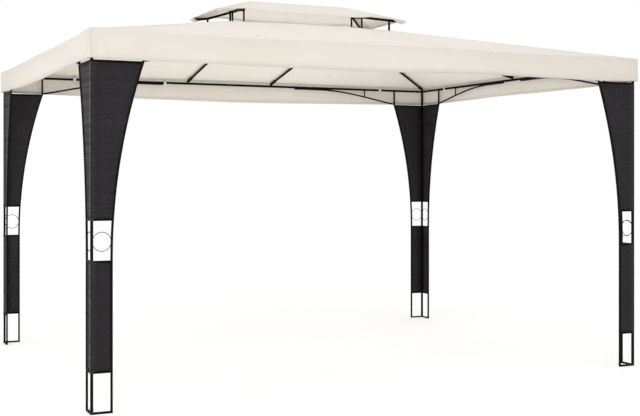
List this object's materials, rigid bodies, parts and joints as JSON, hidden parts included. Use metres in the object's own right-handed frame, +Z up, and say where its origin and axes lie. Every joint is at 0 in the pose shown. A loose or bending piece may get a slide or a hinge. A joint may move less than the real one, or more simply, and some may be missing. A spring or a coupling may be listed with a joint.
{
  "type": "two-tier hip-roof gazebo",
  "caption": "Garden gazebo with a hipped cloth canopy, a raised vent canopy over its ridge and flared, woven L-shaped corner legs with small ring windows and open feet.",
  "frame": {"origin": "on the ground, in the middle of the plan", "axes": "+X along the long side, +Y towards the back, +Z up"},
  "size_m": [4, 3, 2.685],
  "materials": {
    "steel": "satin black powder coat",
    "weave": "woven resin strip, near black",
    "cloth": "matt cream canopy cloth"
  },
  "bodies": {
    "root": {"corner_post_front_left": "steel", "wing_frame_front_left_long": "steel", "weave_upper_front_left_long": "weave", "weave_lower_front_left_long": "weave", "wing_frame_front_left_short": "steel", "weave_upper_front_left_short": "weave", "weave_lower_front_left_short": "weave", "corner_post_front_right": "steel", "wing_frame_front_right_long": "steel", "weave_upper_front_right_long": "weave", "weave_lower_front_right_long": "weave", "wing_frame_front_right_short": "steel", "weave_upper_front_right_short": "weave", "weave_lower_front_right_short": "weave", "corner_post_back_left": "steel", "wing_frame_back_left_long": "steel", "weave_upper_back_left_long": "weave", "weave_lower_back_left_long": "weave", "wing_frame_back_left_short": "steel", "weave_upper_back_left_short": "weave", "weave_lower_back_left_short": "weave", "corner_post_back_right": "steel", "wing_frame_back_right_long": "steel", "weave_upper_back_right_long": "weave", "weave_lower_back_right_long": "weave", "wing_frame_back_right_short": "steel", "weave_upper_back_right_short": "weave", "weave_lower_back_right_short": "weave", "eave_truss_front": "steel", "eave_truss_back": "steel", "eave_truss_left": "steel", "eave_truss_right": "steel", "hip_rafter_front_left": "steel", "common_rafter_front_left": "steel", "hip_rafter_front_right": "steel", "common_rafter_front_right": "steel", "hip_rafter_back_left": "steel", "common_rafter_back_left": "steel", "hip_rafter_back_right": "steel", "common_rafter_back_right": "steel", "end_rafter_left": "steel", "end_rafter_right": "steel", "vent_curb": "steel", "vent_end_left": "steel", "vent_end_right": "steel", "vent_ridge_tube": "steel", "canopy_front": "cloth", "canopy_back": "cloth", "canopy_left": "cloth", "canopy_right": "cloth", "vent_canopy": "cloth"}
  },
  "joints": []
}
